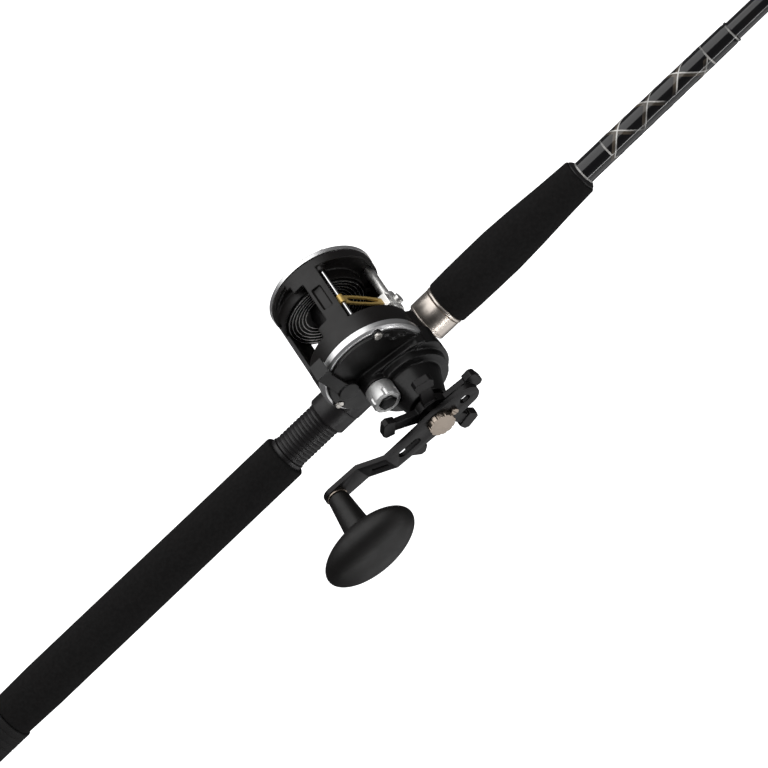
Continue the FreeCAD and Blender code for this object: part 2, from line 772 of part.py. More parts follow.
# ---------------------------------------------------------------- right side
def make_right_side():
    front_y = right_face_y - right_ring_width
    inner_radius = plate_radius - ring_band
    edge = 1.6
    ring = revolve_y(ring_centre, [(inner_radius, right_face_y), (plate_radius, right_face_y),
                                   (plate_radius, front_y + edge), (plate_radius - edge, front_y),
                                   (inner_radius, front_y)])
    for place in right_screw_places():
        ring = ring.cut(cylinder_y(place, screw_boss_radius, -60, 0))
    ring = ring.cut(cylinder_y(worm_boss_place(), worm_housing_radius + 0.05, -60, 0))
    save("right_side_ring", ring)

    make_right_plate(inner_radius)

    boss = lever_boss_place()
    plate = cylinder_y(ring_centre, bridge_radius, *bridge_y)
    for centre, radius in ((spool_axis, 5.2), (crank_axis, drive_shaft_radius + running_clearance),
                           (worm_axis, worm_journal_radius + 0.4), (boss, 2.4)):
        plate = plate.cut(cylinder_y(centre, radius, *bridge_y))
    plate = plate.fuse(cylinder_y(pawl_pivot(), pawl_post_radius, bridge_y[1], bridge_y[1] - 2.0))
    save("bridge_plate", plate)

    bore = spool_shaft_radius + running_clearance
    bearings = []
    for start in (tension_post_y, left_face_y - 3.6):
        bearings.append(ring_y(spool_axis, bearing_radius, bore, start, start + bearing_width))
    save("spool_bearings", Part.Compound(bearings))


def right_screw_seats():
    """Places of the handle-side screws with the level each head sits on."""
    heights = (plate_front_y + 1.0, plate_front_y + 1.0, housing_screw_seat_y)
    return list(zip(right_screw_places(), heights))


def worm_boss_place():
    return (worm_axis[0] + worm_housing_offset[0], worm_axis[1] + worm_housing_offset[1])


def outer_tangents(centre_a, radius_a, centre_b, radius_b):
    """Corners of the figure between two circles' outer tangents."""
    along = math.degrees(math.atan2(centre_b[1] - centre_a[1], centre_b[0] - centre_a[0]))
    distance = math.hypot(centre_b[0] - centre_a[0], centre_b[1] - centre_a[1])
    spread = math.degrees(math.acos((radius_a - radius_b) / distance))
    return [polar(centre_a, radius_a, along + spread), polar(centre_b, radius_b, along + spread),
            polar(centre_b, radius_b, along - spread), polar(centre_a, radius_a, along - spread)]


def lever_boss_place():
    return (reel_x + lever_boss[0], reel_z + lever_boss[1])


def make_right_plate(inner_radius):
    """Handle-side plate with the gear housing, the drag tower and the tension post in one moulding."""
    seats = right_screw_seats()
    worm_front_y = gear_room_front_y
    worm_boss = worm_boss_place()
    shell = cylinder_y(ring_centre, inner_radius, right_face_y, plate_front_y)
    pieces = [cylinder_y(place, screw_boss_radius, right_face_y, seat_y) for place, seat_y in seats]
    # the housing ends in a straight ridge, from the tension cap's boss to the corner beside the ring
    corner = list(housing_ridge)
    line = math.degrees(math.atan2(corner[0][1] - spool_axis[1], corner[0][0] - spool_axis[0]))
    reach = math.hypot(corner[0][0] - spool_axis[0], corner[0][1] - spool_axis[1])
    ridge_start = polar(spool_axis, tension_boss_radius, line + math.degrees(math.acos(tension_boss_radius / reach)))
    disc = cylinder_y(crank_axis, housing_radius, housing_back_y, housing_front_y)
    above = [(ridge_start[0] - 40, ridge_start[1] + 8.4), ridge_start] + corner
    above += [(corner[-1][0] + 20, corner[-1][1]), (corner[-1][0] + 20, corner[-1][1] + 40),
              (ridge_start[0] - 40, ridge_start[1] + 40)]
    pieces += [disc.cut(prism_y(above, housing_back_y + 1, housing_front_y - 1)),
               prism_y([ridge_start] + corner + [worm_boss, crank_axis, spool_axis], housing_back_y, housing_front_y),
               prism_y(outer_tangents(crank_axis, housing_radius, worm_boss, worm_housing_radius),
                       housing_back_y, housing_front_y),
               cylinder_y(worm_boss, worm_housing_radius, right_face_y, worm_front_y),
               cylinder_y(worm_axis, worm_room_radius + 1.8, housing_back_y, worm_front_y),
               cylinder_y(crank_axis, housing_step_radius, housing_back_y, housing_step_y),
               cone_y(crank_axis, tower_base_radius, tower_top_radius, housing_step_y, tower_top_y)]
    shell = shell.multiFuse(pieces)
    # shallow pockets that give the face its wavy edge beside the ring
    pocket = sector_y(ring_centre, inner_radius + 1, pocket_inner_radius, pocket_angles, plate_front_y - 1,
                      plate_front_y + pocket_depth)
    pocket = pocket.fuse(cylinder_y(polar(ring_centre, pocket_inner_radius, sum(pocket_angles) / 2), 3.4,
                                    plate_front_y - 1, plate_front_y + pocket_depth))
    keep = cylinder_y(seats[0][0], screw_boss_radius + 0.8, -60, 0)
    shell = shell.cut(pocket.cut(keep))
    # hollow beside the tower for the tension cap
    shell = shell.cut(cylinder_y(spool_axis, tension_cap_radius + 0.6, tension_cap_y[0], tower_top_y - 5))
    shell = shell.fuse(cylinder_y(spool_axis, tension_boss_radius, plate_front_y, tension_cap_y[0] + 0.3))
    shell = shell.fuse(cylinder_y(spool_axis, tension_post_radius, plate_front_y, tension_post_y))
    # gear room, open towards the frame
    room_back = housing_back_y - housing_back_wall
    room_front = gear_room_front_y
    room = [(ring_centre, bridge_radius, right_face_y, bridge_y[1]),
            (ring_centre, bridge_radius - 1.6, bridge_y[1], plate_front_y + 1.6),
            (crank_axis, ratchet_radius + 0.6, bridge_y[1], room_back),
            (crank_axis, gear_room_radius, room_back, room_front),
            (spool_axis, 6.8, bridge_y[1], tension_cap_y[0] + 1.0),
            (worm_axis, worm_room_radius, room_back, room_back - 3.0),
            (worm_axis, worm_journal_radius + 0.4, right_face_y, room_back),
            (worm_axis, worm_tail_radius, room_back - 3.0, worm_front_y + 2.0),
            (crank_axis, 12.0, room_front, housing_step_y + 1.4),
            (crank_axis, 8.6, housing_step_y + 1.4, tower_top_y + bushing_length),
            (crank_axis, 6.2, tower_top_y + bushing_length, tower_top_y),
            (spool_axis, bearing_radius, tension_post_y, tension_post_y + bearing_width),
            (spool_axis, spool_shaft_radius + 0.5, tension_cap_y[0] + 1.0, tension_post_y),
            (lever_boss_place(), 1.6, plate_front_y, right_face_y)]
    room += [(place, screw_shank_radius, right_face_y, seat_y) for place, seat_y in seats]
    room += [(place, screw_head_radius + 0.2, seat_y, seat_y - 4) for place, seat_y in seats]
    for centre, radius, y_a, y_b in room:
        shell = shell.cut(cylinder_y(centre, radius, y_a, y_b))
    save("right_side_plate", shell)


def make_plate_screws():
    places = [(place, seat_y - screw_head_height, right_face_y + screw_grip)
              for place, seat_y in right_screw_seats()]
    left_head = left_face_y + left_ring_width - 0.6 + screw_head_height
    places += [(place, left_head, left_face_y - screw_grip) for place in left_screw_places()]
    screws = [slotted_screw(place, y_head, y_tip, screw_head_radius, screw_shank_radius, screw_head_height)
              for place, y_head, y_tip in places]
    save("plate_screws", Part.Compound(screws))


def make_tension_cap():
    y_base, y_end = tension_cap_y
    bore = tension_post_radius + running_clearance
    edge = 0.7
    cap = revolve_y(spool_axis, [(bore, y_base), (tension_cap_radius - edge, y_base),
                                 (tension_cap_radius, y_base - edge), (tension_cap_radius, y_end + edge),
                                 (tension_cap_radius - edge, y_end), (6.0, y_end), (6.0, y_end + 0.4),
                                 (0, y_end + 0.4), (0, tension_post_y - 0.3), (bore, tension_post_y - 0.3)])
    for i in range(6):
        notch = polar(spool_axis, tension_cap_radius + 0.8, 60 * i)
        cap = cap.cut(cylinder_y(notch, 1.6, y_end - 1, y_end + 5))
    save("tension_cap", cap)


def make_clutch_lever():
    boss = lever_boss_place()
    pad = (reel_x + lever_pad[0], reel_z + lever_pad[1])
    y_back, y_front = lever_y
    half = 4.6
    outline = [(boss[0] - 5.4, boss[1]), (boss[0] + 3.4, boss[1] + 2.0), (pad[0] + half - 1.2, pad[1] - 1.0),
               (pad[0] - half, pad[1] - 1.0)]
    lever = prism_y(outline, y_back, y_front + 0.6).fuse(cylinder_y(boss, lever_boss_radius, y_back, y_front))
    lever = lever.fuse(box(pad[0] - half, pad[0] + half, y_front + 0.6, y_back + 9, pad[1] + 0.6, pad[1] + 3.2))
    lever = lever.fuse(box(pad[0] - half, pad[0] + half, y_front + 0.6, y_back, pad[1] - 1.2, pad[1] + 3.2))
    lever = lever.cut(cylinder_y(ring_centre, plate_radius + 0.5, y_back + 0.1, 0))
    spindle = 1.6 - running_clearance
    lever = lever.fuse(cylinder_y(boss, spindle, y_front, bridge_y[1] - 1.0))
    lever = lever.fuse(cylinder_y(boss, 2.2, bridge_y[1] - 1.0, bridge_y[0] - 0.4))
    save("clutch_lever", lever)


# ---------------------------------------------------------------- spool and gears
def make_spool():
    shaft = spool_shaft_radius
    left, right = spool_left_y, spool_right_y
    flange, thick, arbor = spool_flange_radius, spool_flange_thickness, spool_arbor_radius
    hub = 4.6
    spool = revolve_y(spool_axis, [(shaft, left + thick + 2), (hub, left + thick + 2), (hub, left + 1.2),
                                   (arbor - 2, left + thick), (flange - 1.6, left + thick),
                                   (flange - 1.6, left + thick + 3), (flange, left + thick + 3),
                                   (flange, left + 0.4), (flange - 0.4, left), (arbor, left + 0.8),
                                   (arbor, right - 0.8), (flange - 0.4, right), (flange, right - 0.4),
                                   (flange, right - thick - 3), (flange - 1.6, right - thick - 3),
                                   (flange - 1.6, right - thick), (arbor - 2, right - thick),
                                   (hub, right - thick), (hub, right - thick - 2), (shaft, right - thick - 2)])
    save("spool", spool)

    shaft_solid = cylinder_y(spool_axis, shaft, tension_post_y + 0.1, left_face_y + 2.2)
    pin_y = pinion_engage_y() + 1.2
    pin = Part.makeCylinder(0.9, 9.0, Vector(spool_axis[0] - 4.5, pin_y, spool_axis[1]), axis_x)
    save("spool_shaft", shaft_solid.fuse(pin))


def pinion_engage_y():
    """Inner end of the pinion, where its slot grips the spool shaft's cross pin."""
    return spool_right_y - spool_flange_thickness - 4.6


def make_pinion():
    start = pinion_engage_y() + 2.2
    gear_start, gear_end = pinion_gear_y
    bore = spool_shaft_radius + running_clearance
    half_tooth = 180 / pinion_teeth
    teeth = gear(spool_axis, pinion_teeth, gear_start, gear_end, crank_axis_angle + half_tooth)
    neck_start = gear_start + pinion_travel + 0.6
    body = cylinder_y(spool_axis, 4.9, start, neck_start)
    body = body.fuse(cylinder_y(spool_axis, 3.8, neck_start, gear_start))
    groove = ring_y(spool_axis, 6, 3.4, start - 4.0, start - 6.0)
    pinion = teeth.fuse(body).cut(groove).cut(cylinder_y(spool_axis, bore, start + 1, gear_end - 1))
    slot = box(spool_axis[0] - 6, spool_axis[0] + 6, pinion_engage_y(), start + 1,
               spool_axis[1] - 1.0, spool_axis[1] + 1.0)
    save("pinion", pinion.cut(slot))


def make_clutch_yoke():
    start = pinion_engage_y() + 2.2
    y_a, y_b = start - 4.3, start - 5.7
    yoke = prism_y([(spool_axis[0] - 13, spool_axis[1] - 3.5), (spool_axis[0] + 13, spool_axis[1] - 3.5),
                    (spool_axis[0] + 13, spool_axis[1] + 4.5), (spool_axis[0] - 13, spool_axis[1] + 4.5)], y_a, y_b)
    yoke = yoke.cut(cylinder_y(spool_axis, 3.8, y_a, y_b))
    yoke = yoke.cut(box(spool_axis[0] - 3.8, spool_axis[0] + 3.8, y_a, y_b, spool_axis[1] - 10, spool_axis[1]))
    save("clutch_yoke", yoke)


def make_drive_train():
    """Crank shaft, ratchet, gears and drag stack, all on the crank axis."""
    shaft = cylinder_y(crank_axis, drive_shaft_radius, bridge_y[0], arm_face_y - shaft_nut_depth)
    shaft = shaft.fuse(cylinder_y(crank_axis, 6.0, bridge_y[1] - 0.2, bridge_y[1] - 0.6))
    save("drive_shaft", shaft)
    bore = cylinder_y(crank_axis, drive_shaft_radius, -60, -20)

    outline = []
    for i in range(ratchet_teeth):
        angle = 360 * i / ratchet_teeth
        outline.append(polar(crank_axis, ratchet_radius, angle))
        outline.append(polar(crank_axis, ratchet_radius - 1.4, angle + 4))
    ratchet_y = bridge_y[1] - 0.6
    save("ratchet_wheel", prism_y(outline, ratchet_y, ratchet_y - 1.2).cut(bore))

    worm_drive = gear(crank_axis, worm_drive_teeth, *worm_gear_y, worm_axis_angle)
    spacer = cylinder_y(crank_axis, 5.6, ratchet_y - 1.2, main_gear_y[0])
    save("worm_drive_gear", worm_drive.fuse(spacer).cut(bore))

    main = gear(crank_axis, main_gear_teeth, *main_gear_y, crank_axis_angle + 180)
    recess_depth = 1.6
    recess = cylinder_y(crank_axis, washer_radius + 0.2, main_gear_y[1], main_gear_y[1] + recess_depth)
    save("main_gear", main.cut(recess).cut(bore))

    stack_start = main_gear_y[1] + recess_depth
    washers = [ring_y(crank_axis, washer_radius, drive_shaft_radius, stack_start - i * washer_thickness,
                      stack_start - (i + 1) * washer_thickness + 0.05) for i in range(washer_count)]
    save("drag_washers", Part.Compound(washers))

    sleeve_start = stack_start - washer_count * washer_thickness
    spacer = ring_y(crank_axis, 5.4, drive_shaft_radius, sleeve_start, tower_top_y - 0.4)
    spacer = spacer.fuse(ring_y(crank_axis, 8.0, drive_shaft_radius, sleeve_start, sleeve_start - 1.0))
    save("drag_sleeve", spacer)

    bushing_end = tower_top_y + bushing_length
    save("shaft_bushing", ring_y(crank_axis, 8.6, 5.4 + running_clearance, bushing_end, bushing_end + 1.0).fuse(
        ring_y(crank_axis, 6.2, 5.4 + running_clearance, tower_top_y, bushing_end)))

    springs = []
    for i in range(spring_washer_count):
        start = tower_top_y - 0.5 - spring_washer_pitch * i
        springs.append(cone_y(crank_axis, 7.6, 6.9, start, start - spring_washer_pitch + 0.1)
                       .cut(cylinder_y(crank_axis, drive_shaft_radius, -90, -60)))
    save("spring_washers", Part.Compound(springs))


def pawl_pivot():
    return polar(crank_axis, ratchet_radius + 5.5, 118)


def make_anti_reverse_pawl():
    pivot = pawl_pivot()
    tip = polar(crank_axis, ratchet_radius + 0.9, 92)
    y_a, y_b = bridge_y[1] - 0.5, bridge_y[1] - 1.7
    direction = math.degrees(math.atan2(tip[1] - pivot[1], tip[0] - pivot[0]))
    outline = [polar(pivot, 2.2, direction + 90), polar(tip, 0.4, direction + 90), polar(tip, 0.4, direction - 90),
               polar(pivot, 2.2, direction - 90)]
    pawl = prism_y(outline, y_a, y_b).fuse(cylinder_y(pivot, 2.2, y_a, y_b))
    save("anti_reverse_pawl", pawl.cut(cylinder_y(pivot, pawl_post_radius + running_clearance, y_a, y_b)))


# ---------------------------------------------------------------- level wind
def make_level_wind():
    save("guide_rod", cylinder_y(guide_rod_axis, guide_rod_radius, right_face_y, left_face_y - 2))

    x, z = worm_axis
    tube_inner = worm_tube_radius - worm_tube_wall
    tube = ring_y(worm_axis, worm_tube_radius, tube_inner, right_face_y, left_face_y - 2)
    # slot along the front of the tube, where the pawl reaches the worm
    slot = box(x + 0.5, x + 8, right_window_y + 2.5, left_window_y - 4.5, z - 1.5, z + 1.5)
    save("level_wind_tube", tube.cut(slot))

    shaft = cylinder_y(worm_axis, worm_shaft_radius, right_face_y, left_face_y - 2.5)
    shaft = shaft.fuse(cylinder_y(worm_axis, worm_journal_radius - running_clearance, right_face_y, worm_gear_y[1]))
    shaft = shaft.fuse(cylinder_y(worm_axis, worm_tail_radius - running_clearance, worm_gear_y[1],
                                  gear_room_front_y + 2.4))
    worm_start = right_window_y + 3.0
    worm_end = left_window_y - 5.0
    half_turns = 2 * int((worm_end - worm_start) / worm_pitch)
    for i in range(half_turns):
        middle = worm_start + (i + 0.75) * worm_pitch / 2
        groove = ring_y(worm_axis, worm_shaft_radius + 1, worm_shaft_radius - 0.5, middle - 0.4, middle + 0.4)
        groove.rotate(Vector(x, middle, z), axis_z, 24 if i % 2 else -24)
        shaft = shaft.cut(groove)
    save("worm_shaft", shaft)

    half_tooth = 180 / worm_gear_teeth
    wheel = gear(worm_axis, worm_gear_teeth, *worm_gear_y, worm_axis_angle + 180 + half_tooth)
    save("worm_gear", wheel.cut(cylinder_y(worm_axis, worm_journal_radius - running_clearance, -60, 0)))

    bore = worm_tube_radius + running_clearance
    half = carriage_length / 2
    carriage = cylinder_y(worm_axis, carriage_radius, carriage_y - half, carriage_y + half)
    carriage = carriage.fuse(carriage_block())
    carriage = carriage.cut(cylinder_y(worm_axis, bore, carriage_y - half - 1, carriage_y + half + 1))
    carriage = carriage.cut(Part.makeCylinder(pawl_radius, 12, Vector(x + 2.0, carriage_y, z), axis_x))
    save("line_guide_carriage", carriage)

    pawl_start = x + worm_shaft_radius + 0.1
    pawl_length = carriage_radius - worm_shaft_radius + 0.6
    pawl = Part.makeCylinder(pawl_radius, pawl_length, Vector(pawl_start, carriage_y, z), axis_x)
    save("level_wind_pawl", pawl)
    cap = Part.makeCylinder(3.2, 2.6, Vector(x + carriage_radius - 0.8, carriage_y, z), axis_x)
    cap = cap.cut(pawl).cut(cylinder_y(worm_axis, carriage_radius, -30, 30))
    save("pawl_cap", cap)


def carriage_block():
    """Block on top of the carriage that holds the line guide's foot."""
    x, z = worm_axis
    return box(x - 3.8, x + 2.4, carriage_y - 4.6, carriage_y + 4.6, z, z + carriage_rise)


def make_line_guide():
    """Long eye that carries the line, from the carriage up to the guide rod."""
    foot = (worm_axis[0] - 1.4, worm_axis[1] + carriage_rise - 1.0)
    reach = math.hypot(guide_rod_axis[0] - foot[0], guide_rod_axis[1] - foot[1])
    lean = math.degrees(math.atan2(guide_rod_axis[1] - foot[1], guide_rod_axis[0] - foot[0]))
    half = line_guide_width / 2
    foot_half = line_guide_foot_width / 2
    wire = line_guide_wire

    def plate(points, thick):
        face = polygon_face([Vector(along, across, -thick / 2) for along, across in points])
        return face.extrude(Vector(0, 0, thick))

    side = [(0, foot_half), (reach * 0.35, half - 0.2), (reach * 0.7, half), (reach, half * 0.86)]
    outer = plate(side + [(along, -across) for along, across in reversed(side)], wire)
    inside = [(5.0, foot_half - wire), (reach * 0.35, half - 0.2 - wire), (reach * 0.7, half - wire),
              (reach - 5.5, half * 0.86 - wire), (reach - 4.4, 0)]
    hole = plate([(4.2, 0)] + inside + [(along, -across) for along, across in reversed(inside[:-1])], 3 * wire)
    shoe = Part.makeCylinder(guide_rod_radius + 1.1, 2 * half * 0.86, Vector(reach, -half * 0.86, 0), axis_y)
    loop = outer.cut(hole).fuse(shoe)
    loop = loop.cut(Part.makeCylinder(guide_rod_radius + running_clearance, 4 * half,
                                      Vector(reach, -2 * half, 0), axis_y))
    loop.rotate(origin, axis_y, -lean)
    loop.translate(Vector(foot[0], carriage_y, foot[1]))
    save("line_guide", loop.cut(carriage_block()))


# ---------------------------------------------------------------- crank
def make_star():
    hub = cylinder_y(crank_axis, star_hub_radius, star_y, star_y - 6.0)
    star = hub
    for i in range(star_arm_count):
        angle = star_first_angle + 360 * i / star_arm_count
        side = angle + 90
        near = polar(crank_axis, star_hub_radius - 3, angle)
        far = polar(crank_axis, star_reach, angle)
        outline = [polar(near, 4.6, side), polar(far, 3.4, side), polar(far, -3.4, side), polar(near, -4.6, side)]
        star = star.fuse(prism_y(outline, star_y - 1.0, star_y - 1.0 - star_thickness))
        paddle = [polar(polar(far, -4.0, angle), 5.6, side), polar(polar(far, 1.6, angle), 6.6, side),
                  polar(polar(far, 4.0, angle), 4.6, side), polar(polar(far, 4.0, angle), -4.6, side),
                  polar(polar(far, 1.6, angle), -6.6, side), polar(polar(far, -4.0, angle), -5.6, side)]
        star = star.fuse(prism_y(paddle, star_y - 1.0, star_y - 2.0 - star_thickness))
    star = star.cut(cylinder_y(crank_axis, drive_shaft_radius + running_clearance, -90, -60))
    save("star_drag", star)


def arm_point(along, across):
    """Point (x, z) in the arm's own directions, from the crank axis."""
    return polar(polar(crank_axis, along, arm_angle), across, arm_angle + 90)


def arm_bar(along_a, along_b, half_a, half_b, y_a, y_b):
    outline = [arm_point(along_a, half_a), arm_point(along_b, half_b), arm_point(along_b, -half_b),
               arm_point(along_a, -half_a)]
    return prism_y(outline, y_a, y_b)


def make_handle_arm():
    face, thick, depth = arm_face_y, arm_thickness, arm_crank_depth
    end_y = face + depth
    width = arm_hub_halfwidth
    end_width = arm_end_halfwidth

    profile = [(-arm_tail - 12, face), (arm_crank_start, face), (arm_crank_end, end_y), (arm_reach + 20, end_y),
               (arm_reach + 20, end_y + thick), (arm_crank_end - 0.6, end_y + thick),
               (arm_crank_start - 0.6, face + thick), (-arm_tail - 12, face + thick)]
    start = arm_point(0, -30)
    side_face = [Vector(start[0] + along * math.cos(math.radians(arm_angle)), y,
                        start[1] + along * math.sin(math.radians(arm_angle))) for along, y in profile]
    toward = arm_point(0, 30)
    ribbon = polygon_face(side_face).extrude(Vector(toward[0] - start[0], 0, toward[1] - start[1]))

    low, high = face - 1, end_y + thick + 1
    tail_width = width - 1.2
    plan = arm_bar(-arm_tail + tail_width, 0, tail_width, width, low, high)
    plan = plan.fuse(cylinder_y(arm_point(-arm_tail + tail_width, 0), tail_width, low, high))
    plan = plan.fuse(arm_bar(0, 44, width, end_width, low, high))
    plan = plan.fuse(arm_bar(44, arm_reach, end_width, end_width, low, high))
    plan = plan.fuse(cylinder_y(arm_point(arm_reach, 0), end_width, low, high))
    arm = ribbon.common(plan)
    for along, reach, half in ((-20.0, 3.6, 2.6), (24.5, 8.4, 2.9), (46.2, 5.2, 1.1)):
        slot = arm_bar(along - reach + half, along + reach - half, half, half, low, high)
        for end in (along - reach + half, along + reach - half):
            slot = slot.fuse(cylinder_y(arm_point(end, 0), half, low, high))
        arm = arm.cut(slot)
    arm = arm.cut(cylinder_y(crank_axis, drive_shaft_radius, low - 5, high + 5))
    arm = arm.cut(cylinder_y(arm_point(arm_reach, 0), post_radius, low - 5, high + 5))
    lock = lock_screw_place()
    arm = arm.cut(cylinder_y(lock, screw_shank_radius, low - 5, high + 5))
    save("handle_arm", arm)


def lock_screw_place():
    return arm_point(-9.8 - 0.6, 1.0)


def make_handle_nut():
    y_a, y_b = arm_face_y, arm_face_y - handle_nut_height
    nut = cylinder_y(crank_axis, handle_nut_radius, y_a, y_b)
    notches = 12
    for i in range(notches):
        place = polar(crank_axis, handle_nut_radius + 0.4, 360 * (i + 0.5) / notches)
        nut = nut.cut(cylinder_y(place, 1.0, y_a, y_b))
    nut = nut.cut(cylinder_y(crank_axis, drive_shaft_radius, y_a, y_a - shaft_nut_depth))
    nut = nut.cut(cylinder_y(lock_screw_place(), lock_screw_head_radius + 0.1, y_a, y_b))
    save("handle_nut", nut)
    save("handle_lock_screw", slotted_screw(lock_screw_place(), y_a - 1.7, y_a + arm_thickness,
                                            lock_screw_head_radius, screw_shank_radius, 1.7))


def make_knob():
    post_axis = arm_point(arm_reach, 0)
    face = arm_face_y + arm_crank_depth
    washer_y = face - 1.2
    neck_start = washer_y - 0.4
    body_y = neck_start - knob_neck_length - knob_half_depth
    bore = post_radius + running_clearance
    hollow_end = neck_start - knob_neck_length
    post = cylinder_y(post_axis, post_radius, face + arm_thickness, hollow_end + 0.6)
    post = post.fuse(cylinder_y(post_axis, 5.4, face + arm_thickness, face + arm_thickness + 1.4))
    post = post.fuse(cylinder_y(post_axis, knob_neck_radius, face, washer_y))
    save("knob_post", post)

    body = Part.makeSphere(1.0)
    scale = FreeCAD.Matrix()
    scale.scale(knob_half_length, knob_half_depth, knob_half_width)
    body = body.transformGeometry(scale)
    body.translate(Vector(post_axis[0], body_y, post_axis[1]))
    neck = cone_y(post_axis, knob_neck_radius, knob_neck_radius + 3.2, neck_start, body_y + 0.4 * knob_half_depth)
    save("handle_knob", body.fuse(neck).cut(cylinder_y(post_axis, bore, neck_start, hollow_end)))


make_blank()
make_butt_cap()
make_rear_grip()
make_reel_seat()
make_arbors()
make_front_hood()
make_moving_hood()
make_seat_nut()
make_seat_trim()
make_foregrip()
make_winding_check()
make_butt_wrap()
make_guides()
make_tip_top()
make_reel_foot()
make_foot_screws()
make_reel_frame()
make_left_side()
make_click_button()
make_right_side()
make_plate_screws()
make_tension_cap()
make_clutch_lever()
make_spool()
make_pinion()
make_clutch_yoke()
make_drive_train()
make_anti_reverse_pawl()
make_level_wind()
make_line_guide()
make_star()
make_handle_arm()
make_handle_nut()
make_knob()
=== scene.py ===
import json
import math

import bpy
from mathutils import Matrix, Vector


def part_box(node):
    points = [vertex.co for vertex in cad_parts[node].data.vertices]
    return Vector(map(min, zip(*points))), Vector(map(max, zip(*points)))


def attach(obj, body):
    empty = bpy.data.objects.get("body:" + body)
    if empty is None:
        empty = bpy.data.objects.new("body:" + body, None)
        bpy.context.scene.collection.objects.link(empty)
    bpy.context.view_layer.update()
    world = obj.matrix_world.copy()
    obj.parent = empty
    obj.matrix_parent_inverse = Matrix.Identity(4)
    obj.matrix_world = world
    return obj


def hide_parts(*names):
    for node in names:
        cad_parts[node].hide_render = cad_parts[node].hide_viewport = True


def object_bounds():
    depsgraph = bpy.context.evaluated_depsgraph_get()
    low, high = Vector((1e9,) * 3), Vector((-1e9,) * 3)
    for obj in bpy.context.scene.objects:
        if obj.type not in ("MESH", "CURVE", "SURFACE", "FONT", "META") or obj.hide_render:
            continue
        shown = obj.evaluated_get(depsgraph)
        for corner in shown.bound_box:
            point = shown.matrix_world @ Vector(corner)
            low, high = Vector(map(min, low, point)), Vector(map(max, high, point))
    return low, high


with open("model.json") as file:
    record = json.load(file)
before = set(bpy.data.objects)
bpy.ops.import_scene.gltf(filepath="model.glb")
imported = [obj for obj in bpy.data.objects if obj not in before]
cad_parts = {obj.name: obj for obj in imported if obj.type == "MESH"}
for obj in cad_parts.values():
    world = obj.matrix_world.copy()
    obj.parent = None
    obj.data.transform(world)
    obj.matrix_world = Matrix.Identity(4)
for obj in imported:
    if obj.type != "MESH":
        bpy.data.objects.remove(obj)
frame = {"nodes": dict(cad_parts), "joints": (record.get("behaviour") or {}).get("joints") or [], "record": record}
cadLow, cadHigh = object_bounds()
mm = 0.001
joints = {joint["name"]: joint for joint in frame["joints"]}
mounts = {mount["name"]: mount for mount in frame["record"]["mounts"]}


# ways of working

def deselectAll():
    if bpy.context.object and bpy.context.object.mode != "OBJECT":
        bpy.ops.object.mode_set(mode="OBJECT")
    bpy.ops.object.select_all(action="DESELECT")


def pick(piece):
    deselectAll()
    piece.select_set(True)
    bpy.context.view_layer.objects.active = piece


def applied(piece, kind, **settings):
    pick(piece)
    modifier = piece.modifiers.new(kind.lower(), kind)
    for name, value in settings.items():
        setattr(modifier, name, value)
    bpy.ops.object.modifier_apply(modifier=modifier.name)
    return piece


def rounded(piece, width, segments=3, angle=30):
    return applied(piece, "BEVEL", width=width * mm, segments=segments, limit_method="ANGLE",
                   angle_limit=math.radians(angle), harden_normals=False)


def finished(piece, name, body, material, replaced=(), angle=32):
    pick(piece)
    bpy.ops.object.transform_apply(location=True, rotation=True, scale=True)
    bpy.ops.object.shade_smooth_by_angle(angle=math.radians(angle))
    piece.name = name
    piece.data.materials.clear()
    piece.data.materials.append(material)
    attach(piece, body)
    if replaced:
        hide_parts(*replaced)
    return piece


def turned(profile, centre=(0, 0, 0), axis="X", steps=96):
    # a line is drawn point by point, as distance along the axis and radius in mm, and spun once round
    along, out = {"X": (Vector((1, 0, 0)), Vector((0, 0, 1))), "Y": (Vector((0, 1, 0)), Vector((0, 0, 1)))}[axis]
    centre = Vector(centre)
    places = [centre + along * (a * mm) + out * (r * mm) for a, r in profile]
    deselectAll()
    bpy.ops.mesh.primitive_plane_add(size=mm, location=places[0])
    piece = bpy.context.object
    bpy.ops.object.transform_apply(location=True, rotation=True, scale=True)
    bpy.ops.object.mode_set(mode="EDIT")
    bpy.ops.mesh.select_all(action="SELECT")
    bpy.ops.mesh.merge(type="CENTER")
    for here, there in zip(places, places[1:]):
        bpy.ops.mesh.extrude_vertices_move(TRANSFORM_OT_translate={"value": there - here})
    bpy.ops.mesh.select_all(action="SELECT")
    bpy.ops.mesh.spin(steps=steps, angle=2 * math.pi, center=centre, axis=along)
    bpy.ops.mesh.select_all(action="SELECT")
    bpy.ops.mesh.remove_doubles(threshold=0.002 * mm)
    bpy.ops.mesh.normals_make_consistent(inside=False)
    bpy.ops.object.mode_set(mode="OBJECT")
    return piece


def copied(node):
    # the CAD node's shape as a piece of its own, with its loose triangles joined into flat faces
    piece = bpy.data.objects.new(node + "Copy", frame["nodes"][node].data.copy())
    bpy.context.scene.collection.objects.link(piece)
    pick(piece)
    bpy.ops.mesh.customdata_custom_splitnormals_clear()
    bpy.ops.object.mode_set(mode="EDIT")
    bpy.ops.mesh.select_all(action="SELECT")
    bpy.ops.mesh.remove_doubles(threshold=0.001 * mm)
    bpy.ops.object.mode_set(mode="OBJECT")
    return piece


def edged(node, width, segments=3, angle=28, flat=1.0):
    # a copy with every sharp edge broken by a small round
    piece = copied(node)
    bpy.ops.object.mode_set(mode="EDIT")
    bpy.ops.mesh.select_all(action="SELECT")
    bpy.ops.mesh.dissolve_limited(angle_limit=math.radians(flat))
    bpy.ops.object.mode_set(mode="OBJECT")
    return rounded(piece, width, segments, angle)


